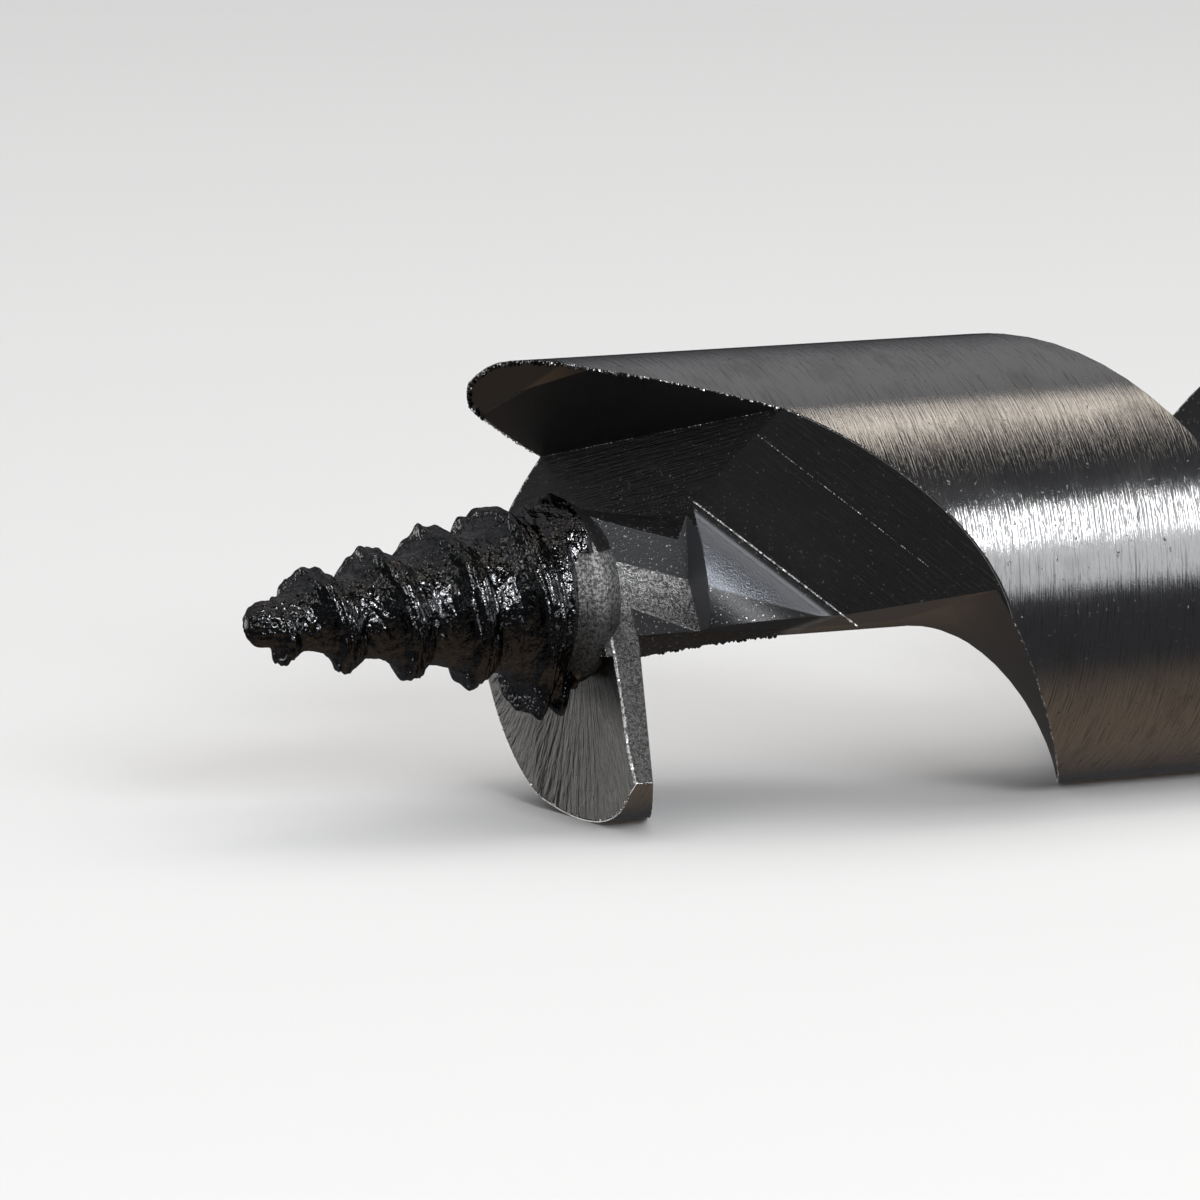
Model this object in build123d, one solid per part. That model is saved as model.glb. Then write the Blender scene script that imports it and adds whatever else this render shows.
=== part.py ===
from build123d import *
from math import acos, cos, degrees, radians, sin, sqrt, tan
import os

# One-piece auger bit for wood: a tapered lead screw, a head with one cutting lip and
# one spur, a single right-hand flute round a thin solid core, a neck and a hex shank.
# The axis lies along X with the lead screw toward -X and the shank end at X = 0.
# Angles round the axis are counted from +Z toward -Y, which is clockwise as seen
# from the lead screw, and stations are counted from the rim toward the shank.

# Overall sizes
bit_diameter = 20.0
screw_length = 15.6
flute_length = 90.0
shoulder_length = 9.0
neck_length = 9.4
hex_length = 36.0

# Flute and land
flute_pitch = 34.0
land_arc = 149.0
front_edge_angle = -74.0
core_diameter = 5.2
root_fillet = 0.6
undercut = 20.0

# Head: the throat walls are flat wheel cuts, each given by where it stands and faces
lip_lead = 0.6
lip_relief = 2.2
spur_height = 2.6
throat_flank_angle = 88.0
front_flange_share = 0.4
front_flange_overlap = 26.0
back_flange_step = 54.0
flank_sink = 0.95
throat_floor_station = 2.65
throat_floor_facing = Vector(-0.916, -0.178, 0.359)
throat_lower_angle = -115.0
wall_offset = 8.53
wall_facing = Vector(-0.378, -0.318, -0.870)
bevel_offset = 8.12
bevel_facing = Vector(-0.534, -0.321, -0.781)
datum_station = 1.15

# Side cut into the flange, made by the flat and the rim of one wheel
side_corner = Vector(4.60, -1.98, 3.79)
side_run = Vector(0.703, -0.369, -0.608)
side_section = Vector(-0.566, 0.226, -0.792)
side_flat_tilt = 24.6
side_rim_radius = 3.4
side_rim_drop = 4.55
side_rim_rise = 1.49

# Plate that backs the cutting lip, flat behind
lip_back_station = 2.65
lip_back_slope = 0.45
lip_back_angle = 170.0
lip_relief_drop = 1.05
lip_relief_end = 0.38

# Rake face ground across the lip and along the core
rake_corner_angle = 138.0
rake_tilt = 12.0
rake_length = 4.3
rake_top = 3.6
core_flat_point = Vector(-0.17, -1.386, 1.76)
core_flat_facing = Vector(-0.149, -0.986, 0.062)

# Hollow ground clearance face of the lip
hollow_radius = 20.0
hollow_depth = 0.55
hollow_angle = 176.0

# Core root behind the lead screw
root_diameter = 8.0
root_fade_length = 12.0
root_sink = 0.15
root_flare = 0.62
root_fit = 0.97
root_end_slope = 0.03
flare_length = 2.5
flare_drop = 0.4
flare_lap = 0.1
flare_depth = 0.5

# Lead screw, bent a little out of line with the bit
screw_pitch = 2.9
screw_bend = 1.9
thread_start = -14.2
thread_end = -2.6
thread_start_angle = 155.0
tip_root_radius = 0.95
base_root_radius = 3.35
ridge_height = 0.7
ridge_width = 1.9
cam_points = 12
knob_radius = 0.9

# Shank
neck_diameter = 10.0
runout_length = 16.0
runout_fit = 0.98
hex_across_flats = 11.0
hex_chamfer = 1.2
hex_clearance = 0.01

rim_x = -(flute_length + shoulder_length + neck_length + hex_length)
radius = bit_diameter / 2
core_radius = core_diameter / 2
twist_rate = 360 / flute_pitch
flank_foot = degrees(acos(core_radius / radius))
flank_stock = 1.08
flange_runs = 3
reach = 3 * bit_diameter


def across(station):
    # Plane across the axis at a station behind the rim, with angle zero upward.
    return Plane((rim_x + station, 0, 0), x_dir=(0, 0, 1), z_dir=(1, 0, 0))


def polar(distance, angle):
    # Point in such a plane at a distance from the axis and an angle round it.
    return (distance * cos(radians(angle)), distance * sin(radians(angle)))


def block(point, facing):
    # Large block that fills the space on one side of a plane through the point.
    side = Plane(origin=point, z_dir=facing)
    return side * Pos(0, 0, reach / 2) * Box(reach, reach, reach)


def land_section():
    # Half-round section: the front flank runs tangent into the core, the rear is undercut.
    rear = -land_arc
    front_rim = polar(radius * flank_stock, 0)
    front_foot = polar(core_radius, flank_foot)
    rear_rim = polar(radius * flank_stock, rear)
    rear_foot = polar(core_radius, rear + undercut)
    outer = CenterArc((0, 0), radius * flank_stock, rear, land_arc)
    core = CenterArc((0, 0), core_radius, flank_foot, 360 - land_arc + undercut - flank_foot)
    section = make_face([outer, Line(front_rim, front_foot), core, Line(rear_foot, rear_rim)])
    corner = section.vertices().sort_by_distance(rear_foot)[0]
    return fillet(corner, root_fillet)


def flange_run(number):
    # One of the equal runs of the land sector, carried along at the pitch of the flute.
    run = (flute_length + runout_length + lip_lead) / flange_runs
    start = number * run - lip_lead
    section = across(start) * (Rot(0, 0, front_edge_angle + start * twist_rate) * land_section())
    return Solid.extrude_linear_with_rotation(
        section.face(), (rim_x + start, 0, 0), (run, 0, 0), run * twist_rate
    )


def straight_flange(start, end, lower_angle):
    # Forged end of the flange, which isn't twisted in front of the flute.
    flank = make_face(
        Polyline(
            polar(radius * 1.5, throat_flank_angle + 4),
            polar(radius, throat_flank_angle),
            polar(core_radius * flank_sink, throat_flank_angle + flank_foot),
            (0, 0),
            polar(radius * 1.5, lower_angle),
            polar(radius * 1.9, (lower_angle + throat_flank_angle) / 2),
            close=True,
        )
    )
    return extrude(across(start) * flank, amount=end - start)


def head_blank():
    # Both flanges together, before the wheel cuts.
    end = (throat_flank_angle - front_edge_angle) / twist_rate
    middle = front_flange_share * end
    front = straight_flange(-spur_height, middle, front_edge_angle - front_flange_overlap)
    back = straight_flange(middle, end, front_edge_angle + back_flange_step)
    flanges = (flange_run(0) + (front + back)) & envelope()
    return flanges - lip_back_cut() + lip_plate()


def turned(profile):
    # Solid of revolution from a profile of stations and distances from the axis.
    return revolve(Plane((rim_x, 0, 0), x_dir=(1, 0, 0), z_dir=(0, -1, 0)) * profile, Axis.X)


def core_root():
    # The core thickens toward the lead screw.
    front = (-lip_lead, root_diameter / 2 - root_sink)
    waist = (root_fade_length * 0.15, core_radius + root_flare)
    end = (root_fade_length, core_radius * root_fit)
    side = Spline(front, waist, end, tangents=[(1, -0.5), (1, -root_end_slope)])
    ends = Polyline(front, (-lip_lead, 0), (root_fade_length, 0), end)
    return turned(make_face([side, ends]))


def throat_cut():
    # Opens the head over the core, in front of the flange and under the spur wall.
    datum = Vector(rim_x + datum_station, 0, 0)
    ahead_of_floor = block((rim_x + throat_floor_station, 0, 0), throat_floor_facing)
    under_wall = block(datum + Vector(0, 0, wall_offset), wall_facing)
    under_bevel = block(datum + Vector(0, 0, bevel_offset), bevel_facing)
    upward = throat_lower_angle + 90
    above = block(datum, Vector(0, -sin(radians(upward)), cos(radians(upward))))
    return ahead_of_floor & above & (under_wall + under_bevel)


def side_cut():
    # Prism along the wheel's travel: a flat wall, then the hollow of the wheel's rim.
    corner = Vector(rim_x, 0, 0) + side_corner
    section_plane = Plane(corner, x_dir=side_section, z_dir=side_run)
    flat = (
        -reach / 2 * cos(radians(side_flat_tilt)),
        -reach / 2 * sin(radians(side_flat_tilt)),
    )
    rim_end = (side_rim_drop, -side_rim_rise)
    hollow = RadiusArc(rim_end, (0, 0), side_rim_radius)
    outline = Polyline(
        (0, 0),
        flat,
        (flat[0], -reach / 2),
        (side_rim_drop + 0.67 * reach / 2, -reach / 2),
        rim_end,
    )
    prism = extrude(section_plane * make_face([outline, hollow]), amount=reach / 3, both=True)
    datum = Vector(rim_x + datum_station, 0, 0)
    wall = block(datum + Vector(0, 0, wall_offset), wall_facing * -1)
    return prism - wall


def rake_facing():
    # Direction in which the rake face looks, square to the axis.
    angle = radians(rake_corner_angle - 90 + rake_tilt)
    return Vector(0, -sin(angle), cos(angle))


def rake_corner():
    # Outer corner of the cutting edge, at the rim.
    angle = radians(rake_corner_angle)
    return Vector(rim_x, -radius * sin(angle), radius * cos(angle))


def rake_cut():
    # Grinds the leading face of the lip, and above it a steeper flat along the core.
    facing = rake_facing()
    outward = Vector(0, -facing.Z, facing.Y)
    ahead = block(rake_corner(), facing)
    below_top = block(Vector(rim_x, 0, 0) - outward * rake_top, outward)
    before_end = block((rim_x + rake_length, 0, 0), (-1, 0, 0))
    beside_core = block(Vector(rim_x, 0, 0) + core_flat_point, core_flat_facing)
    return ahead & below_top & before_end & beside_core


def lip_back():
    # Direction in which the wall behind the lip looks.
    angle = radians(lip_back_angle)
    return Vector(1, cos(angle) * lip_back_slope, sin(angle) * lip_back_slope)


def lip_plate():
    # Wedge behind the rake face, thin at the edge and thicker toward the land.
    angle = radians(lip_back_angle)
    back = block((rim_x + lip_back_station, 0, 0), lip_back() * -1)
    behind_rake = block(rake_corner(), rake_facing() * -1)
    below = block((rim_x, 0, 0), Vector(0, -sin(angle), cos(angle)))
    front = block((rim_x - lip_lead, 0, 0), (1, 0, 0))
    return envelope() & back & behind_rake & below & front


def lip_back_cut():
    # Opens the flute behind the lip and under the core.
    below = block((rim_x, 0, -core_radius * lip_relief_drop), (0, 0, -1))
    short = block((rim_x + lip_relief_end * flute_pitch, 0, 0), (-1, 0, 0))
    return block((rim_x + lip_back_station, 0, 0), lip_back()) & below & short


def front_cut():
    # Relief behind the cutting edge, all round the rim but for the spur.
    slope = Vector(-1, tan(radians(lip_relief)), 0)
    front = block((rim_x - lip_lead / 2, 0, 0), slope)
    downward = radians(throat_lower_angle + 90)
    return front & block((rim_x, 0, 0), (0, sin(downward), -cos(downward)))


def hollow_cut():
    # Shallow trough that dishes the clearance face from the core outward.
    middle = radians(hollow_angle)
    outward = Vector(0, -sin(middle), cos(middle))
    station = rim_x - lip_lead / 2 + hollow_depth - hollow_radius
    trough = Plane(Vector(station, 0, 0) + outward * core_radius, z_dir=outward)
    return trough * Pos(0, 0, radius) * Cylinder(hollow_radius, 2 * radius)


def screw_outline(share):
    # Cam outline of a single-start thread, cut square to the axis and turned with it.
    length = thread_end - thread_start
    root = tip_root_radius + (base_root_radius - tip_root_radius) * share
    turn = thread_start_angle + 360 * length * share / screw_pitch
    points = []
    for number in range(cam_points):
        angle = 360 * number / cam_points
        from_crest = min(angle, 360 - angle) / 360 * screw_pitch
        rise = max(0, 1 - from_crest / (ridge_width / 2))
        points.append(polar(root + ridge_height * rise, angle + turn))
    outline = across(thread_start + length * share) * make_face(Spline(points, periodic=True))
    return outline.face().outer_wire()


def lead_screw_thread():
    # Tapered screw lofted through cam outlines a sixth of a turn apart.
    steps = round(6 * (thread_end - thread_start) / screw_pitch)
    return Solid.make_loft([screw_outline(number / steps) for number in range(steps + 1)])


def lead_screw_flare():
    # Flare of the screw's root into the core.
    front = (-lip_lead - flare_length, base_root_radius - flare_drop)
    back = (-lip_lead - flare_lap, root_diameter / 2)
    inside = (flare_depth, root_diameter / 2 - flare_depth * 1.5)
    side = Spline(front, back, inside, tangents=[(1, 0), (1, -1)])
    ends = Polyline(front, (front[0], 0), (inside[0], 0), inside)
    return turned(make_face([side, ends])).solid()


def lead_screw():
    # Screw with the burred knob at its tip, bent as one about the middle of the rim.
    knob = Pos(rim_x - screw_length + knob_radius, 0, 0) * Sphere(knob_radius)
    straight = lead_screw_thread() + knob + lead_screw_flare()
    bend = Pos(rim_x, 0, 0) * Rot(0, -screw_bend, 0) * Pos(-rim_x, 0, 0)
    return bend * straight


def envelope():
    # Outside of the flute and the cone down to the neck, turned in one piece.
    shoulder_end = flute_length + shoulder_length
    outline = Polyline(
        (-spur_height - 1, 0),
        (-spur_height - 1, radius),
        (flute_length, radius),
        (shoulder_end, neck_diameter / 2),
        (shoulder_end, 0),
        close=True,
    )
    return turned(make_face(outline))


def ball_radius(low, high, run):
    # Radius of a ball on the axis whose surface climbs from low to high within the run.
    middle = (high * high - low * low + run * run) / (2 * run)
    return sqrt(middle * middle + low * low)


def shank():
    # Core thickens into the neck, and the neck ends in a hexagon with rounded-off ends.
    end = flute_length + shoulder_length
    overall = -rim_x
    neck_radius = neck_diameter / 2
    start = (flute_length - runout_length, core_radius * runout_fit)
    outline = Polyline(
        (start[0], 0),
        start,
        (end, neck_radius),
        (overall - hex_length, neck_radius),
        (overall - hex_length, 0),
        close=True,
    )
    hexagon = Plane((-hex_length, 0, 0), x_dir=(0, 0, 1), z_dir=(1, 0, 0)) * RegularPolygon(
        hex_across_flats / 2, 6, major_radius=False
    )
    bar = extrude(hexagon, amount=hex_length)
    corner = hex_across_flats / 2 / cos(radians(30)) + hex_clearance
    rear_radius = corner - hex_chamfer
    front_run = corner - neck_radius
    front_low = (overall - hex_length, neck_radius)
    front_high = (overall - hex_length + front_run, corner)
    rear_high = (overall - hex_chamfer, corner)
    rear_low = (overall, rear_radius)
    limit = make_face(
        [
            RadiusArc(front_low, front_high, ball_radius(neck_radius, corner, front_run)),
            Line(front_high, rear_high),
            RadiusArc(rear_high, rear_low, ball_radius(rear_radius, corner, hex_chamfer)),
            Polyline(rear_low, (overall, 0), (overall - hex_length, 0), front_low),
        ]
    )
    return turned(make_face(outline)) + (bar & turned(limit))


def auger_bit():
    bit = head_blank() - front_cut()
    bit = bit - throat_cut()
    bit = bit - hollow_cut()
    bit = bit + core_root()
    bit = bit - side_cut()
    bit = bit - rake_cut()
    bit = bit + lead_screw()
    for number in range(1, flange_runs):
        bit = bit + (flange_run(number) & envelope())
    return bit + shank()


if __name__ == "__main__":
    os.makedirs("parts", exist_ok=True)
    bit = auger_bit()
    print("volume", round(bit.volume, 1), "solids", len(bit.solids()), "valid", bit.is_valid)
    print("centre", bit.center(CenterOf.MASS))
    print("box", bit.bounding_box())
    export_step(bit, "parts/auger_bit.step")
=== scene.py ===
import math
import random

import bmesh
import bpy
import numpy as np
from mathutils import Matrix, Vector


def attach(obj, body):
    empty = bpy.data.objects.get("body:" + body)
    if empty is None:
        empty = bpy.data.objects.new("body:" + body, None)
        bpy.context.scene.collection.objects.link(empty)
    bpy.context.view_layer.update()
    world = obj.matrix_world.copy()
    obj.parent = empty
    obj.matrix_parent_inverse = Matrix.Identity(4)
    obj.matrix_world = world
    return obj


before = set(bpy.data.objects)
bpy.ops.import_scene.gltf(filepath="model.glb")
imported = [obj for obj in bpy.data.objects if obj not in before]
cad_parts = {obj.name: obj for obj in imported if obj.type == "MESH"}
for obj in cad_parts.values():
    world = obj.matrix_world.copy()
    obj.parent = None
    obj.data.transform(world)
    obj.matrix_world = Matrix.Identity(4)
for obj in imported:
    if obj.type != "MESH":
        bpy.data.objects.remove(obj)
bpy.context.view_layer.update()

# Sizes of the bit, in metres, with the shank end at 0
rimX = -0.1444      # front edge of the head
tipX = -0.15999     # end of the lead screw
bitRadius = 0.010
floorLevel = -0.010
mm = 0.001


class Flow:
    # An output socket of a node tree that takes part in sums.

    def __init__(self, tree, socket):
        self.tree = tree
        self.socket = socket

    def node(self, kind, settings=None, sockets=None, output=0):
        return addNode(self.tree, kind, settings, sockets, output)

    def math(self, operation, other):
        return self.node("ShaderNodeMath", {"operation": operation}, {0: self, 1: other})

    def __add__(self, other):
        return self.math("ADD", other)

    def __radd__(self, other):
        return self.math("ADD", other)

    def __sub__(self, other):
        return self.math("SUBTRACT", other)

    def __rsub__(self, other):
        return self.node("ShaderNodeMath", {"operation": "SUBTRACT"}, {0: other, 1: self})

    def __mul__(self, other):
        return self.math("MULTIPLY", other)

    def __rmul__(self, other):
        return self.math("MULTIPLY", other)

    def clamp(self):
        return self.node("ShaderNodeClamp", {}, {"Value": self})

    def ramp(self, low, high):
        # 0 at low and 1 at high, with an eased step between them.
        settings = {"interpolation_type": "SMOOTHSTEP", "clamp": True}
        values = {"Value": self, "From Min": low, "From Max": high}
        return self.node("ShaderNodeMapRange", settings, values)

    def between(self, low, high, soft):
        rise = self.ramp(low - soft, low + soft)
        return rise * (1.0 - self.ramp(high - soft, high + soft))

    def blend(self, first, second):
        # Mixes two colours, with this value as the share of the second.
        settings = {"data_type": "RGBA", "clamp_factor": True}
        return self.node("ShaderNodeMix", settings, {"Factor": self, 6: first, 7: second}, 2)

    def vector(self, operation, other, output=0):
        values = {0: self, 1: other}
        return self.node("ShaderNodeVectorMath", {"operation": operation}, values, output)

    def dot(self, direction):
        return self.vector("DOT_PRODUCT", direction, 1)

    def length(self):
        return self.node("ShaderNodeVectorMath", {"operation": "LENGTH"}, {0: self}, 1)

    def radius(self):
        # Distance of a point from the axis of the bit.
        return self.stretch((0.0, 1.0, 1.0)).length()

    def stretch(self, scale):
        # Scales the vector by one number, or by one for each axis.
        if isinstance(scale, float):
            scale = (scale, scale, scale)
        return self.vector("MULTIPLY", scale)

    def join(self, x, y, z=0.0):
        return self.node("ShaderNodeCombineXYZ", {}, {"X": x, "Y": y, "Z": z})

    def parts(self):
        kind = "ShaderNodeSeparateXYZ"
        return [self.node(kind, {}, {"Vector": self}, place) for place in range(3)]

    def noise(self, detail, roughness):
        values = {"Vector": self, "Scale": 1.0, "Detail": detail, "Roughness": roughness}
        return self.node("ShaderNodeTexNoise", {"noise_dimensions": "3D"}, values)

    def bump(self, strength, distance):
        values = {"Height": self, "Strength": strength, "Distance": distance}
        return self.node("ShaderNodeBump", {}, values)


def setSocket(tree, socket, value):
    if isinstance(value, Flow):
        tree.links.new(value.socket, socket)
    elif isinstance(value, (tuple, list)) and len(value) == 3 and socket.type == "RGBA":
        socket.default_value = (*value, 1.0)
    else:
        socket.default_value = value


def addNode(tree, kind, settings=None, sockets=None, output=0):
    # Settings go in first, because some of them change the sockets.
    made = tree.nodes.new(kind)
    for name, value in (settings or {}).items():
        setattr(made, name, value)
    for name, value in (sockets or {}).items():
        setSocket(tree, made.inputs[name], value)
    return Flow(tree, made.outputs[output]) if made.outputs else None


def newMaterial(name):
    material = bpy.data.materials.new(name)
    material.use_nodes = True
    material.node_tree.nodes.clear()
    return material


def finishMaterial(material, sockets):
    tree = material.node_tree
    shader = addNode(tree, "ShaderNodeBsdfPrincipled", {}, sockets)
    addNode(tree, "ShaderNodeOutputMaterial", {}, {"Surface": shader})
    return material


def objectPoint(tree):
    # Place on the object in millimetres, with X counted from the rim toward the shank.
    place = addNode(tree, "ShaderNodeTexCoord", {}, {}, 3)
    return place.vector("SUBTRACT", (rimX, 0.0, 0.0)).stretch(1000.0)


print("bit steel")

bitLook = {
    "oxide": (0.011, 0.011, 0.0115),
    "oxideSpeck": (0.42, 0.42, 0.43),
    "ground": (0.50, 0.495, 0.49),
    "groundDull": (0.41, 0.405, 0.40),
    "pit": (0.03, 0.027, 0.024),
    "rake": (0.17, 0.168, 0.164),
    "rakeDark": (0.06, 0.06, 0.059),
    # Lighter copies of the rake colours for its arm: painted light
    "rakeArmPaintedLight": (0.56, 0.555, 0.545),
    "rakeArmDarkPaintedLight": (0.15, 0.148, 0.145),
    "facet": (0.10, 0.104, 0.115),
    # Painted highlight along the edge of the facet
    "facetEdge": (0.80, 0.82, 0.86),
    "step": (0.050, 0.052, 0.058),
    "lip": (0.12, 0.118, 0.115),
    # Bare bright metal of the spur's bevel; its warm tint is a painted warm reflection
    "bevel": (0.34, 0.29, 0.24),
    "under": (0.50, 0.46, 0.42),
    "lacquer": (0.095, 0.095, 0.098),
    # How metallic and how rough the oxide is, and what each face adds to that
    "baseMetal": 0.15,
    "addedMetal": {"land": 1.0, "rake": 1.0, "facet": 1.0, "bevel": 1.0, "under": 1.0,
                   "screw": 1.0, "front": 0.8, "step": -2.0},
    "speckMetal": 0.6,
    "baseRoughness": 0.38,
    "addedRoughness": {"ring": 0.22, "screw": -0.28, "land": -0.24, "rake": 0.02, "facet": -0.04},
    "unevenRoughness": 0.16,
    "evenOnLand": 0.7,
    "dullRoughness": 0.05,
    # How far marks and specks cover the colour below them
    "streakLevels": (0.54, 0.70),
    "streakShare": 0.42,
    "pitShare": 0.75,
    "speckLevels": (0.685, 0.72),
    "coreSpeckLevels": (0.65, 0.69),
    "sideWithoutSpecks": 0.75,
    "flatAsFacet": 0.12,
    # Marks, the face that bears them, and their height against the others
    "depths": (("streaks", "land", 1.0), ("bands", "land", 0.3), ("pits", "land", -0.3),
               ("floorMarks", "floor", 3.4), ("sideMarks", "side", 2.0), ("fan", "front", 4.2)),
    "grainDepth": 0.35,
    "addedGrain": {"land": -0.30, "rake": 1.5, "facet": 0.3},
    "reliefStrength": 0.7,
    "reliefHeight": 0.05 * mm,
}

# Directions in which the ground faces look, and in which the wheel travelled over them
faceLook = {
    "rake": (0.0, -0.8660, 0.5),
    "coreFlat": (-0.149, -0.986, 0.062),
    "floor": (-0.916, -0.178, 0.359),
    "floorAlong": (0.288, -0.916, 0.281),
    "floorAcross": (0.279, 0.361, 0.890),
    "side": (-0.627, -0.725, -0.285),
    "sideAlong": (0.703, -0.369, -0.608),
    "sideAcross": (0.336, -0.582, 0.741),
    "spurWall": (-0.378, -0.318, -0.870),
    "spurBevel": (-0.534, -0.321, -0.781),
    "hollow": (-0.45, -0.80, 0.40),
    "front": (-1.0, 0.0, 0.0),
}

# Start, end and softness of each face along the axis, in millimetres from the rim
faceReach = {
    "rake": (-3.0, 4.32, 0.02),
    "ring": (-1.62, 0.7, 0.05),
    "coreFlat": (-1.0, 5.2, 0.05),
    "side": (3.0, 20.0, 0.05),
    "floor": (0.0, 9.0, 0.05),
    "spurBevel": (-3.0, 1.6, 0.4),
    "front": (-1.5, 0.6, 0.05),
    "hollow": (4.31, 14.0, 0.02),
    "step": (4.2, 4.4, 0.02),
    "core": (0.0, 9.5, 0.4),
}

# How squarely a face looks in its direction, then the limits of the faces across the
# axis, in millimetres except for the tilt and the slopes
faceLimits = {
    "facing": (0.985, 0.993),
    "facingFront": (0.90, 0.95),
    "facingStep": (0.97, 0.99),
    "facingHollow": (0.70, 0.80),
    "landRadius": (9.90, 9.95),
    "ringRadius": (2.7, 4.4, 0.05),
    "ringSide": (-1.5, -1.8),
    "ringHeight": (-3.3, 2.05, 0.1),
    # Heights over which the painted light on the arm of the rake face sets in
    "armHeight": (-1.2, 1.0),
    "armStation": (1.20, 1.32),
    "armUnderside": (0.10, -0.02),
    "armSlope": 0.40,
    "screwStation": (-0.9, -1.1),
    "underTilt": (-0.30, -0.45),
    "underStation": (9.0, 11.0),
    "hollowRadius": (6.2, 5.6),
    "wedgeTop": (1.52, 1.70),
    "wedgeSlope": 0.287,
    "coreRadius": (5.6, 4.6),
    "behindStep": (4.3, 4.4),
    "edgePoint": (4.60, -1.98, 3.79),    # on the edge between the hollow and the side
    "edgeReach": (2.3, 0.1),
}

# Marks: the place they are drawn over, scale by axis, detail and roughness of the noise,
# and the levels between which they set in
markLook = {
    "streaks": ("land", (12.0, 4.5, 1.0), 3.0, 0.55, None),
    "bands": ("land", (7.0, 5.0, 1.0), 3.0, 0.60, None),
    "pits": ("point", (5.0, 3.4, 3.4), 4.0, 0.65, (0.65, 0.73)),
    "dull": ("point", (0.5, 0.34, 0.34), 3.0, 0.55, (0.48, 0.70)),
    "specks": ("point", 8.0, 2.0, 0.60, None),
    "rake": ("point", 7.0, 3.0, 0.70, (0.40, 0.60)),
    "grain": ("point", 13.0, 2.0, 0.60, None),
    "fan": ("foot", (26.0, 0.5, 1.0), 3.0, 0.60, None),
    "floorMarks": ("floor", (0.35, 7.0, 1.0), 3.0, 0.62, None),
    "sideMarks": ("side", (0.30, 6.0, 1.0), 3.0, 0.62, None),
}
landLean = 0.12    # the scratches of the land run a little aslant


def steelPlaces(point, normal):
    # Where each face of the bit lies, as shares from 0 to 1.
    station, side, height = point.parts()
    radius = point.radius()
    limits = faceLimits

    def facing(name, limit="facing"):
        return normal.dot(faceLook[name]).ramp(*limits[limit])

    def reach(name):
        return station.between(*faceReach[name])

    on = {"land": radius.ramp(*limits["landRadius"])}
    inner = 1.0 - on["land"]
    ring = radius.between(*limits["ringRadius"]) * reach("ring")
    ring = ring * side.ramp(*limits["ringSide"])
    on["ring"] = ring * height.between(*limits["ringHeight"])
    rake = (facing("rake") * inner * reach("rake")).math("MAXIMUM", on["ring"])
    underside = (height + station * limits["armSlope"]).ramp(*limits["armUnderside"])
    on["rake"] = rake * (1.0 - station.ramp(*limits["armStation"]) * underside)
    # Painted light: the upper part of the rake face, its arm, is drawn lighter than the leg
    on["arm"] = height.ramp(*limits["armHeight"])
    on["flat"] = facing("coreFlat") * inner * reach("coreFlat")
    on["side"] = facing("side") * inner * reach("side")
    on["floor"] = facing("floor") * inner * reach("floor")
    on["wall"] = facing("spurWall") * inner
    on["bevel"] = facing("spurBevel") * inner * reach("spurBevel")
    on["front"] = facing("front", "facingFront") * inner * reach("front")
    on["screw"] = station.ramp(*limits["screwStation"]) * (1.0 - on["ring"])
    facingDown = normal.parts()[2].ramp(*limits["underTilt"])
    on["under"] = facingDown * inner * station.ramp(*limits["underStation"])
    on["step"] = facing("front", "facingStep") * reach("step")
    hollow = facing("hollow", "facingHollow") * reach("hollow") * inner
    hollow = hollow * radius.ramp(*limits["hollowRadius"]) * (1.0 - on["side"])
    hollow = hollow * (height + station * limits["wedgeSlope"]).ramp(*limits["wedgeTop"])
    on["facet"] = (hollow + on["flat"] * bitLook["flatAsFacet"] + on["step"]).clamp()
    on["core"] = radius.ramp(*limits["coreRadius"]) * reach("core")
    on["behindStep"] = station.ramp(*limits["behindStep"])
    return on


def steelMarks(point):
    station, side, height = point.parts()
    radius = point.radius()
    turn = side.math("ARCTAN2", height)
    places = {
        "point": point,
        "land": point.join(station + turn * landLean, turn, radius),
        "foot": point.join(turn, radius),
    }
    for face in ("floor", "side"):
        ahead = point.dot(faceLook[face + "Along"])
        places[face] = point.join(ahead, point.dot(faceLook[face + "Across"]))
    marks = {}
    for name, (place, scale, detail, roughness, levels) in markLook.items():
        mark = places[place].stretch(scale).noise(detail, roughness)
        marks[name] = mark.ramp(*levels) if levels else mark
    return marks


def paintedEdgeHighlight(point):
    # Share of the painted highlight along the edge between the hollow and the side.
    fromEdge = point.vector("SUBTRACT", faceLimits["edgePoint"])
    fromEdge = fromEdge.vector("CROSS_PRODUCT", faceLook["sideAlong"])
    return fromEdge.length().ramp(*faceLimits["edgeReach"])


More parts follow.
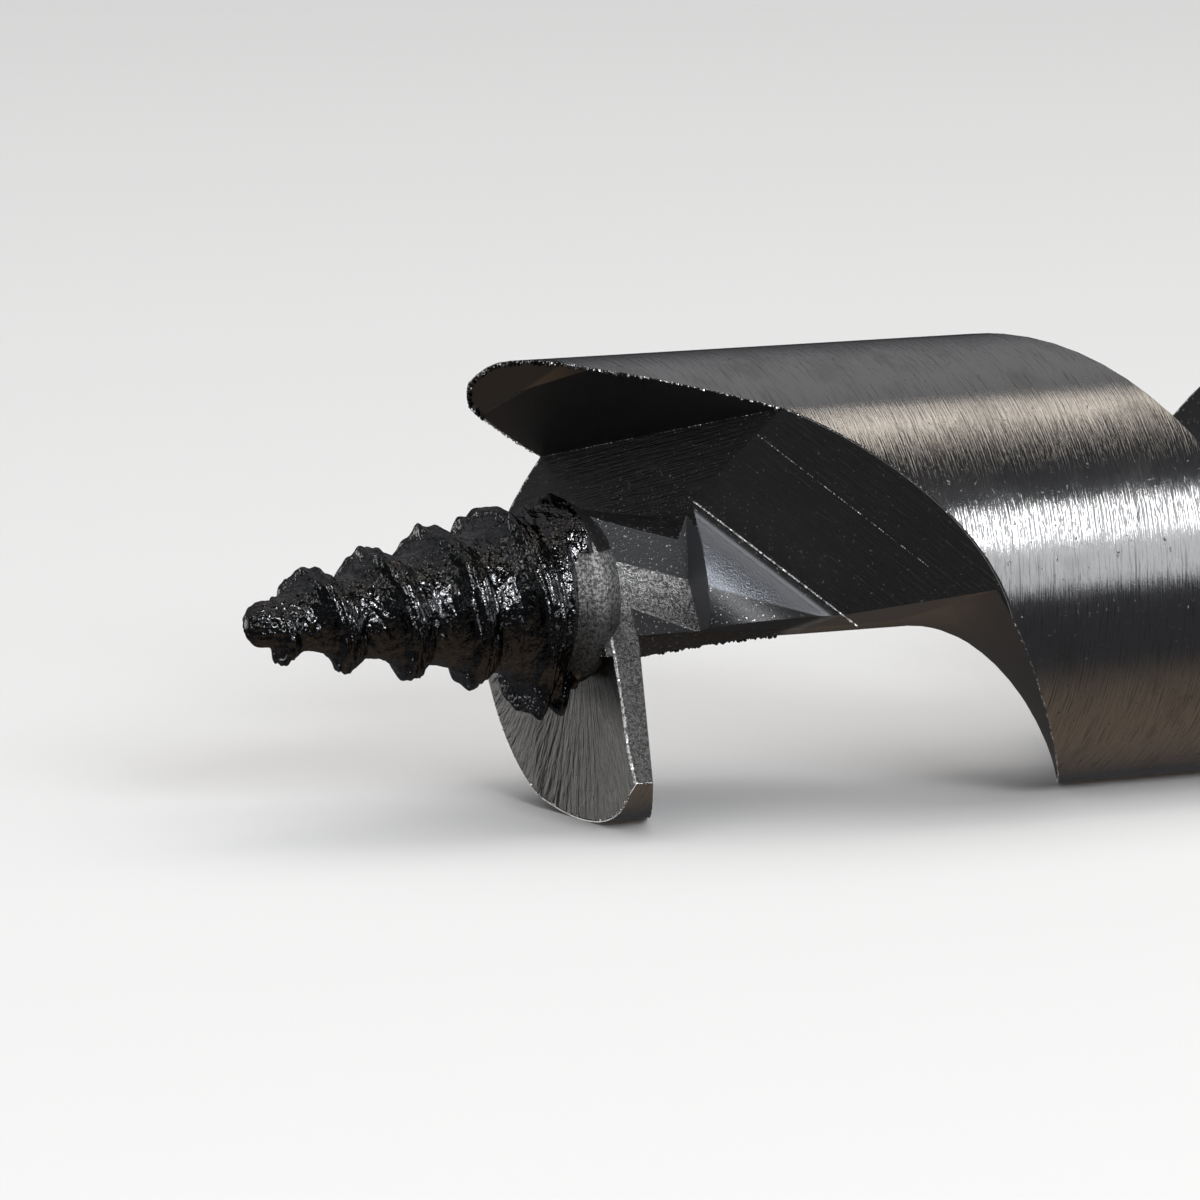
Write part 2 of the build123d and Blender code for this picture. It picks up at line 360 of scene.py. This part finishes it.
def steelColour(point, on, marks, specks):
    ground = marks["dull"].blend(bitLook["ground"], bitLook["groundDull"])
    streaks = marks["streaks"].ramp(*bitLook["streakLevels"]) * bitLook["streakShare"]
    ground = streaks.blend(ground, bitLook["pit"])
    ground = (marks["pits"] * bitLook["pitShare"]).blend(ground, bitLook["pit"])
    colour = on["land"].blend(specks.blend(bitLook["oxide"], bitLook["oxideSpeck"]), ground)
    colour = on["front"].blend(colour, bitLook["lip"])
    # Bright bare metal on the spur's bevel, tinted warm as a painted warm reflection
    colour = on["bevel"].blend(colour, bitLook["bevel"])
    colour = on["under"].blend(colour, bitLook["under"])
    # The facet's colour, with a painted highlight toward its edge between the hollow and the side
    facet = (paintedEdgeHighlight(point) * on["behindStep"]).blend(bitLook["facet"], bitLook["facetEdge"])
    colour = on["facet"].blend(colour, facet)
    colour = on["step"].blend(colour, bitLook["step"])
    # Painted light: the arm of the rake face takes lighter copies of the rake colours than the
    # leg, by height
    brightRake = on["arm"].blend(bitLook["rake"], bitLook["rakeArmPaintedLight"])
    darkRake = on["arm"].blend(bitLook["rakeDark"], bitLook["rakeArmDarkPaintedLight"])
    colour = on["rake"].blend(colour, marks["rake"].blend(darkRake, brightRake))
    return on["screw"].blend(colour, bitLook["lacquer"])


def withShares(total, on, shares):
    for face, share in shares.items():
        total = total + on[face] * share
    return total


def steelRoughness(on, marks):
    uneven = bitLook["unevenRoughness"]
    rough = withShares(bitLook["baseRoughness"], on, bitLook["addedRoughness"])
    rough = rough + (marks["streaks"] - 0.5) * on["land"] * uneven
    rough = rough + (marks["grain"] - 0.5) * uneven * (1.0 - on["land"] * bitLook["evenOnLand"])
    return (rough + marks["dull"] * on["land"] * bitLook["dullRoughness"]).clamp()


def steelRelief(on, marks):
    relief = marks["grain"] * withShares(bitLook["grainDepth"], on, bitLook["addedGrain"])
    for mark, face, depth in bitLook["depths"]:
        relief = relief + marks[mark] * on[face] * depth
    return relief


def bitMaterial():
    material = newMaterial("bitSteel")
    tree = material.node_tree
    point = objectPoint(tree)
    normal = addNode(tree, "ShaderNodeNewGeometry", {}, {}, 1)
    on = steelPlaces(point, normal)
    marks = steelMarks(point)

    specks = on["core"] * marks["specks"].ramp(*bitLook["coreSpeckLevels"])
    specks = specks + (1.0 - on["core"]) * marks["specks"].ramp(*bitLook["speckLevels"])
    specks = specks * (1.0 - on["wall"]) * (1.0 - on["side"] * bitLook["sideWithoutSpecks"])
    metal = specks * bitLook["speckMetal"] + bitLook["baseMetal"]
    relief = steelRelief(on, marks)
    return finishMaterial(material, {
        "Base Color": steelColour(point, on, marks, specks),
        "Metallic": withShares(metal, on, bitLook["addedMetal"]).clamp(),
        "Roughness": steelRoughness(on, marks),
        "Normal": relief.bump(bitLook["reliefStrength"], bitLook["reliefHeight"]),
    })


bitSteel = bitMaterial()
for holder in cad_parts.values():
    for place in holder.material_slots:
        place.material = bitSteel

print("lead screw")

# Stations in millimetres from the rim, angles in degrees from the top toward the viewer.
# Two numbers in brackets are where something starts and where it is whole.
screwLook = {
    "pitch": 2.9,
    "startAngle": 155.0,
    "startStation": -14.2,
    "endStation": -2.6,
    "firstStation": -15.56,
    "lastStation": -0.85,
    "tipRoot": 0.95,
    "baseRoot": 3.35,
    "flare": 0.42,
    "flareRise": (-3.1, -0.9),
    "knob": 0.9,
    "knobStation": -14.7,
    "knobEnd": -14.25,
    "ridge": 0.70,
    "ridgeHalf": 0.95,
    "ridgeRise": (-14.7, -13.9),
    "ridgeFall": (-2.6, -1.6),
    "wander": 0.10,
    "fibreRate": 30.0,
    "fibreSway": 2.2,
    "shelf": (-0.25, 0.62, 0.10, 0.10),    # place, width, height and height of its fibres
    "lip": (0.28, 0.13, 0.10, 0.16),
    "later": 1.3,    # the thread runs on below the base
    "laterAngles": ((110.0, 135.0), (225.0, 250.0)),
    "skin": 0.05,
    "lump": 0.035,
    "cutAway": 0.6,    # under the ground corner of the rake face
    "cutStations": (-2.0, -1.5),
    "cutAngles": ((38.0, 66.0), (146.0, 160.0)),
    "remains": (0.70, 0.22),    # torn steel below the base and its fibres
    "remainsRate": (13.0, 6.0, 2.0),
    "remainsStations": ((-3.5, -2.6), (-1.35, -1.05)),
    "remainsAngles": ((138.0, 168.0), (214.0, 240.0)),
    "bend": 1.9,
    "rows": 450,
    "columns": 216,
    "spark": (0.55, 0.55, 0.56),
    "sparkLevels": (0.66, 0.72),
    "roughness": 0.02,
    "addedRoughness": 0.05,
    "reliefHeight": 0.12 * mm,
}

# Seed, count, and lowest and highest rate of the waves, in radians a millimetre
waveLook = {
    "wander": (8, 7, 0.6, 3.0),
    "torn": (4, 10, 2.0, 9.0),
    "fibreSway": (21, 6, 0.6, 3.0),
    "lump": (33, 14, 3.0, 14.0),
    "remains": (52, 12, 2.0, 10.0),
    "remainsSway": (53, 6, 0.6, 3.0),
}


def smooth(low, high, value):
    share = np.clip((value - low) / (high - low), 0.0, 1.0)
    return share * share * (3.0 - 2.0 * share)


def window(limits, value):
    # 1 between a rise and a fall, 0 outside them.
    rise, fall = limits
    return smooth(*rise, value) * (1.0 - smooth(*fall, value))


def waves(name, along, around):
    # Sum of seeded waves that close round the axis, from -1 to 1 or so.
    seed, count, low, high = waveLook[name]
    chance = np.random.default_rng(seed)
    total = np.zeros_like(along)
    for _ in range(count):
        run = chance.uniform(low, high) * chance.choice([-1.0, 1.0])
        turns = chance.integers(0, int(high * 1.5) + 1)
        total = total + np.sin(along * run + around * turns + chance.uniform(0.0, 6.28))
    return total / math.sqrt(count)


def screwRoot(station):
    look = screwLook
    share = (station - look["startStation"]) / (look["endStation"] - look["startStation"])
    root = look["tipRoot"] + (look["baseRoot"] - look["tipRoot"]) * share
    root = root + look["flare"] * smooth(*look["flareRise"], station)
    knob = look["knob"] ** 2 - (station - look["knobStation"]) ** 2
    knob = np.sqrt(np.clip(knob, 0.0, 1.0))
    return np.where(station < look["knobEnd"], knob, np.maximum(root, knob))


def tornRidge(station, angle, radian):
    # Height of the thread, with fibres along it and a lip of torn steel at its edge.
    look = screwLook
    crest = look["startAngle"] + 360.0 * (station - look["startStation"]) / look["pitch"]
    away = ((angle - crest + 180.0) % 360.0 - 180.0) / 360.0 * look["pitch"]
    tent = look["ridge"] * np.clip(1.0 - np.abs(away) / look["ridgeHalf"], 0.0, 1.0)
    offset = away + look["wander"] * waves("wander", station, radian)
    torn = np.clip(0.5 + 0.6 * waves("torn", station, radian), 0.0, 1.4)
    sway = look["fibreSway"] * waves("fibreSway", station, radian)
    fibre = 0.5 + 0.5 * np.sin(offset * look["fibreRate"] + sway)
    place, width, height, fibreHeight = look["shelf"]
    shelf = np.exp(-((offset - place) / width) ** 4) * (height + fibreHeight * fibre * torn)
    place, width, height, tornHeight = look["lip"]
    lip = np.exp(-((offset - place) / width) ** 2) * (height + tornHeight * torn)
    later = look["later"] * window(look["laterAngles"], angle)
    fade = smooth(*look["ridgeRise"], station)
    fade = fade * (1.0 - smooth(*look["ridgeFall"], station - later))
    return (tent + shelf + lip) * fade


def tornRemains(station, angle, radian):
    height, fibreHeight = screwLook["remains"]
    along, around, swing = screwLook["remainsRate"]
    ragged = np.clip(0.75 + 0.5 * waves("remains", station, radian), 0.2, 1.5)
    sway = swing * waves("remainsSway", station, radian)
    fibre = 0.5 + 0.5 * np.sin(station * along + radian * around + sway)
    place = window(screwLook["remainsStations"], station)
    place = place * window(screwLook["remainsAngles"], angle)
    return place * (height * ragged + fibreHeight * fibre)


def screwSurface():
    # Distance of the torn thread from the axis, by station and angle.
    look = screwLook
    stations = np.linspace(look["firstStation"], look["lastStation"], look["rows"])
    angles = np.linspace(0.0, 360.0, look["columns"] + 1)[:-1]
    station, angle = np.meshgrid(stations, angles, indexing="ij")
    radian = np.radians(angle)
    height = screwRoot(station) + look["skin"] + tornRidge(station, angle, radian)
    lumps = look["lump"] * (1.0 + waves("lump", station, radian))
    cut = smooth(*look["cutStations"], station) * window(look["cutAngles"], angle)
    height = height + np.clip(lumps, 0.0, 0.2) - look["cutAway"] * cut
    return station, radian, height + tornRemains(station, angle, radian)


def gridMesh(name, points):
    # Mesh over rows of points, each row closed into a ring.
    rows, columns = points.shape[:2]
    faces = []
    for row in range(rows - 1):
        for column in range(columns):
            after = (column + 1) % columns
            faces.append((row * columns + column, row * columns + after,
                          (row + 1) * columns + after, (row + 1) * columns + column))
    mesh = bpy.data.meshes.new(name)
    mesh.from_pydata(points.reshape(-1, 3).tolist(), [], faces)
    mesh.update()
    made = bpy.data.objects.new(name, mesh)
    bpy.context.scene.collection.objects.link(made)
    for face in mesh.polygons:
        face.use_smooth = True
    return made


def screwPiece():
    station, radian, height = screwSurface()
    along = station * mm
    y = -height * mm * np.sin(radian)
    z = height * mm * np.cos(radian)
    turn = math.radians(screwLook["bend"])    # tilts about the rim, as the solid screw does
    x = rimX + along * math.cos(turn) - z * math.sin(turn)
    z = z * math.cos(turn) + along * math.sin(turn)
    x = np.maximum(x, tipX + 0.02 * mm)
    return gridMesh("tornThread", np.stack([x, y, z], axis=-1))


def lacquerMaterial():
    material = newMaterial("screwLacquer")
    point = objectPoint(material.node_tree)
    grain = point.stretch((4.6, 3.2, 3.2)).noise(2.0, 0.55)
    spark = point.stretch(9.0).noise(3.0, 0.6).ramp(*screwLook["sparkLevels"])
    rough = grain * screwLook["addedRoughness"] + screwLook["roughness"]
    return finishMaterial(material, {
        "Base Color": spark.blend(bitLook["lacquer"], screwLook["spark"]),
        "Metallic": 1.0,
        "Roughness": rough.clamp(),
        "Normal": grain.bump(1.0, screwLook["reliefHeight"]),
    })


screwLacquer = lacquerMaterial()
tornThread = screwPiece()
tornThread.data.materials.append(screwLacquer)
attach(tornThread, "root")

print("burrs")

# Spacing and sizes of the grains in metres, and the seeds of their places
burrLook = {
    "sharpAngle": 0.45,
    "dark": (0.22, 0.218, 0.215),
    "bright": (0.95, 0.94, 0.93),
    "brightLevels": (0.36, 0.54),
    "metal": 0.8,
    "roughness": 0.38,
    "clearance": 1.15,    # from the diameter of the bit, in sizes of the grain
    "most": 9000,         # in one piece
    "formSeeds": {"landBurr": 14, "headBurr": 15, "edgeRows": 16, "spurBurr": 18},
    "sides": 5,
    "rings": ((-0.4, 0.9), (0.45, 0.85)),    # height and reach, in sizes of the grain
    "uneven": (0.6, 1.1),
    "land": {"spacing": 0.08 * mm, "sizes": (0.018 * mm, 0.090 * mm), "seed": 12},
    "head": {"spacing": 0.16 * mm, "sizes": (0.010 * mm, 0.034 * mm), "seed": 13},
    "spur": {"spacing": 0.04 * mm, "sizes": (0.030 * mm, 0.140 * mm), "seed": 17},
    "facetEdge": {"spacing": 0.02 * mm, "sizes": (0.022 * mm, 0.060 * mm), "seed": 31},
    "scratch": {"spacing": 0.05 * mm, "sizes": (0.010 * mm, 0.030 * mm), "seed": 32},
    "lip": {"spacing": 0.018 * mm, "sizes": (0.040 * mm, 0.105 * mm), "seed": 40},
    "core": {"spacing": 0.055 * mm, "sizes": (0.030 * mm, 0.125 * mm), "seed": 60},
}

# Where the burrs lie: lengths in metres, points in millimetres from the rim, to the side
# and up
burrPlaces = {
    "landFrom": 0.985 * bitRadius,
    "landEnd": rimX + 88.0 * mm,
    "spurEnd": rimX + mm,
    "spurAngles": (-45.0, 25.0),
    "headStations": (-1.2 * mm, mm),
    "headFrom": 2.0 * mm,
    "headFacing": 0.2,
    "facetEdge": ((4.56, -2.03, 3.85), (10.85, -5.30, -1.58)),
    "scratch": ((6.28, -4.70, 6.90), (12.77, -8.08, 1.24)),
    "lipStart": -2.45,
    "lipWidth": 4.24,
    "lipRows": 16,
    "core": ((2.0, 3.06), (4.0, 2.94), (6.0, 2.74), (9.5, 2.60)),    # station and radius
    "belowCore": (-0.161, -0.987),
}

# Rake plane and dished front, whose meeting line is the cutting edge
lipLook = {
    "planeOffset": 2.08,
    "planeSide": 0.866,
    "planeUp": 0.5,
    "dishTurn": (0.9976, 0.0698),    # cosine and sine of 4 degrees
    "dishRadius": 20.0,
    "dishStation": -19.75,
    "lowest": -0.3,
    "lowestSlope": 0.0384,
}


def sharpEdges(holder):
    # Edges of the solid where two of its faces meet at an angle, in metres.
    shape = bmesh.new()
    shape.from_mesh(holder.data)
    bmesh.ops.remove_doubles(shape, verts=shape.verts, dist=0.001 * mm)
    found = []
    for edge in shape.edges:
        if len(edge.link_faces) == 2 and edge.calc_face_angle() > burrLook["sharpAngle"]:
            facing = edge.link_faces[0].normal + edge.link_faces[1].normal
            found.append((edge.verts[0].co.copy(), edge.verts[1].co.copy(), facing.normalized()))
    shape.free()
    return found


def blobs(name, grains, material):
    # Small irregular grains, each a place and a size, joined in one mesh.
    chance = random.Random(burrLook["formSeeds"][name])
    sides = burrLook["sides"]
    points = []
    faces = []
    for place, size in grains[:burrLook["most"]]:
        base = len(points)
        turn = chance.uniform(0.0, 6.28)
        points.append((place[0], place[1], place[2] - size))
        for ring, reach in burrLook["rings"]:
            for step in range(sides):
                angle = turn + step * 2.0 * math.pi / sides
                grow = size * reach * chance.uniform(*burrLook["uneven"])
                points.append((place[0] + grow * math.cos(angle),
                               place[1] + grow * math.sin(angle), place[2] + ring * size))
        points.append((place[0], place[1], place[2] + size))
        low = base + 1
        high = low + sides
        for step in range(sides):
            after = (step + 1) % sides
            faces.append((base, low + after, low + step))
            faces.append((low + step, low + after, high + after, high + step))
            faces.append((high + step, high + after, high + sides))
    mesh = bpy.data.meshes.new(name)
    mesh.from_pydata(points, [], faces)
    mesh.update()
    mesh.materials.append(material)
    made = bpy.data.objects.new(name, mesh)
    bpy.context.scene.collection.objects.link(made)
    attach(made, "root")


def insideLand(place, size):
    # Draws a grain in until it lies within the diameter of the bit.
    away = math.hypot(place[1], place[2])
    limit = bitRadius - size * burrLook["clearance"]
    if away <= limit:
        return place
    return (place[0], place[1] * limit / away, place[2] * limit / away)


def grainSize(look, share):
    return look["sizes"][0] + (look["sizes"][1] - look["sizes"][0]) * share


def edgeGrains(edges, wanted, look):
    chance = random.Random(look["seed"])
    grains = []
    for first, second, facing in edges:
        if not wanted(first, second, facing):
            continue
        run = (second - first).length
        for _ in range(int(run / look["spacing"] + chance.random())):
            middle = first.lerp(second, chance.random())
            size = grainSize(look, chance.random() ** 2.5)
            grains.append((insideLand(middle - facing * size * 0.5, size), size))
    return grains


def rowGrains(ends, look, turn=0):
    # Grains in a row between two points given by station, side and height in millimetres.
    chance = random.Random(look["seed"] + turn)
    first, second = [Vector((rimX + station * mm, side * mm, height * mm))
                     for station, side, height in ends]
    grains = []
    for _ in range(int((second - first).length / look["spacing"])):
        place = first.lerp(second, chance.random())
        size = grainSize(look, chance.random() ** 2)
        grains.append((insideLand(place, size), size))
    return grains


def onLandEdge(first, second, facing):
    rim = min(math.hypot(first.y, first.z), math.hypot(second.y, second.z))
    return rim > burrPlaces["landFrom"] and first.x < burrPlaces["landEnd"]


def onSpurEdge(first, second, facing):
    low, high = burrPlaces["spurAngles"]
    inside = low < math.degrees(math.atan2(-first.y, first.z)) < high
    return onLandEdge(first, second, facing) and first.x < burrPlaces["spurEnd"] and inside


def onHeadEdge(first, second, facing):
    low, high = burrPlaces["headStations"]
    away = math.hypot(first.y, first.z)
    inside = burrPlaces["headFrom"] < away < burrPlaces["landFrom"]
    return low < first.x - rimX < high and inside and facing.y < burrPlaces["headFacing"]


def lipEdge(side):
    # Point of the cutting edge on the rake face, by its distance to the side.
    look = lipLook
    height = (look["planeOffset"] + look["planeSide"] * side) / look["planeUp"]
    dish = look["dishTurn"][0] * side - look["dishTurn"][1] * height
    station = look["dishStation"] + math.sqrt(look["dishRadius"] ** 2 - dish * dish)
    return (max(look["lowest"] + look["lowestSlope"] * side, station), side, height)


def belowCore(station, radius):
    # Lowest point of the core as the camera sees it.
    side, height = burrPlaces["belowCore"]
    return (station, side * radius, height * radius)


def burrMaterial():
    material = newMaterial("burrSteel")
    grain = objectPoint(material.node_tree).stretch(7.0).noise(2.0, 0.6)
    bright = grain.ramp(*burrLook["brightLevels"])
    return finishMaterial(material, {
        "Base Color": bright.blend(burrLook["dark"], burrLook["bright"]),
        "Metallic": burrLook["metal"],
        "Roughness": burrLook["roughness"],
    })


burrSteel = burrMaterial()
headEdges = []
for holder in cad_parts.values():
    headEdges.extend(sharpEdges(holder))
landGrains = edgeGrains(headEdges, onLandEdge, burrLook["land"])
headGrains = edgeGrains(headEdges, onHeadEdge, burrLook["head"])
spurGrains = edgeGrains(headEdges, onSpurEdge, burrLook["spur"])
edgeRows = rowGrains(burrPlaces["facetEdge"], burrLook["facetEdge"])
edgeRows += rowGrains(burrPlaces["scratch"], burrLook["scratch"])
lipRows = burrPlaces["lipRows"]
lipLine = [lipEdge(burrPlaces["lipStart"] - step * burrPlaces["lipWidth"] / lipRows)
           for step in range(lipRows + 1)]
for step in range(lipRows):
    edgeRows += rowGrains(lipLine[step:step + 2], burrLook["lip"], step)
coreLine = [belowCore(station, radius) for station, radius in burrPlaces["core"]]
for step in range(len(coreLine) - 1):
    spurGrains += rowGrains(coreLine[step:step + 2], burrLook["core"], step)
print("grains", len(headEdges), len(landGrains), len(headGrains), len(edgeRows))
blobs("landBurr", landGrains, burrSteel)
blobs("headBurr", headGrains, burrSteel)
blobs("edgeRows", edgeRows, burrSteel)
blobs("spurBurr", spurGrains, bitSteel)

print("stage")

stageLook = {
    "floor": (0.73, 0.73, 0.728),
    "floorReach": 3.0,
    "lens": 251.3,
    "sensor": 36.0,
    "distance": 0.36,
    "azimuth": -27.0,
    "elevation": 8.27,
    "aim": (-0.14325, 0.0, -0.000495),
    "roomDark": (0.042, 0.043, 0.047),
    "roomBehind": (0.27, 0.27, 0.28),
    "roomBelow": (0.17, 0.132, 0.10),
    "behindDepth": (-0.15, 0.35),
    "behindHeight": (0.15, 0.50),
    "belowHeight": (-0.60, -0.86),
}


def makeFloor():
    reach = stageLook["floorReach"]
    corners = [(-reach, -reach, floorLevel), (reach, -reach, floorLevel),
               (reach, reach, floorLevel), (-reach, reach, floorLevel)]
    mesh = bpy.data.meshes.new("floor")
    mesh.from_pydata(corners, [], [(0, 1, 2, 3)])
    floor = bpy.data.objects.new("floor", mesh)
    bpy.context.scene.collection.objects.link(floor)
    material = newMaterial("floorPaper")
    finishMaterial(material, {"Base Color": stageLook["floor"], "Roughness": 0.9})
    mesh.materials.append(material)
    floor.visible_glossy = False    # keeps the dark faces of the bit dark


def makeCamera():
    azimuth = math.radians(stageLook["azimuth"])
    elevation = math.radians(stageLook["elevation"])
    back = Vector((math.sin(azimuth) * math.cos(elevation),
                   -math.cos(azimuth) * math.cos(elevation), math.sin(elevation)))
    data = bpy.data.cameras.new("camera")
    data.lens = stageLook["lens"]
    data.sensor_width = stageLook["sensor"]
    data.clip_start = 0.01
    camera = bpy.data.objects.new("camera", data)
    bpy.context.scene.collection.objects.link(camera)
    camera.location = Vector(stageLook["aim"]) + back * stageLook["distance"]
    camera.rotation_euler = back.to_track_quat("Z", "Y").to_euler()
    bpy.context.scene.camera = camera


makeFloor()
makeCamera()

print("lights")


def bandDirection(angle):
    # Direction that the land mirrors toward the camera, by its angle up from -Y.
    turn = math.radians(angle)
    alongBit, acrossBit = 0.449, 0.893
    return (alongBit, -acrossBit * math.cos(turn), acrossBit * math.sin(turn))


# Direction from the head, distance, width and height in metres, watts and colour
lightLook = {
    "frontBox": (bandDirection(15.0), 0.9, (1.5, 0.60), 2.5, (0.94, 0.97, 1.0)),
    "topBox": (bandDirection(86.0), 0.9, (1.3, 0.20), 1.15, (1.0, 0.90, 0.78)),
    "leftBox": ((-0.80, -0.35, 0.48), 0.9, (0.4, 0.4), 0.7, (1.0, 0.97, 0.94)),
    "glintBox": (bandDirection(19.0), 0.85, (1.5, 0.10), 0.12, (0.97, 0.98, 1.0)),
    "screwBox": ((-0.060, -0.905, 0.421), 0.9, (0.30, 0.26), 5.0, (0.97, 0.98, 1.0)),
    "backBox": ((-0.46, 0.88, -0.06), 0.6, (0.45, 0.20), 0.4, (1.0, 0.99, 0.97)),
    "skyBox": ((0.0, -0.15, 1.0), 2.4, (4.5, 4.5), 85.0, (1.0, 1.0, 1.0)),
}


def softbox(name, direction, distance, size, power, colour):
    toward = Vector(direction).normalized()
    data = bpy.data.lights.new(name, "AREA")
    data.shape = "RECTANGLE"
    data.size, data.size_y = size
    data.energy = power
    data.color = colour
    light = bpy.data.objects.new(name, data)
    light.location = Vector((rimX, 0.0, 0.0)) + toward * distance
    across = (Vector((1.0, 0.0, 0.0)) - toward * toward.x).normalized()
    upward = toward.cross(across)
    light.rotation_euler = Matrix((across, upward, toward)).transposed().to_euler()
    light.visible_glossy = name != "skyBox"    # the broad light leaves no shine
    bpy.context.scene.collection.objects.link(light)


for name, look in lightLook.items():
    softbox(name, *look)


def makeWorld():
    # Dim room: grey above and behind, dark at eye level and brown below.
    world = bpy.data.worlds.new("studio")
    bpy.context.scene.world = world
    world.use_nodes = True
    tree = world.node_tree
    tree.nodes.clear()
    depth, height = addNode(tree, "ShaderNodeTexCoord", {}, {}, 0).parts()[1:]
    behind = depth.ramp(*stageLook["behindDepth"]) * height.ramp(*stageLook["behindHeight"])
    colour = behind.blend(stageLook["roomDark"], stageLook["roomBehind"])
    below = height.ramp(*stageLook["belowHeight"])
    colour = below.blend(colour, stageLook["roomBelow"])
    light = addNode(tree, "ShaderNodeBackground", {}, {"Color": colour, "Strength": 1.0})
    addNode(tree, "ShaderNodeOutputWorld", {}, {"Surface": light})


makeWorld()
bpy.context.scene.view_settings.view_transform = "Standard"
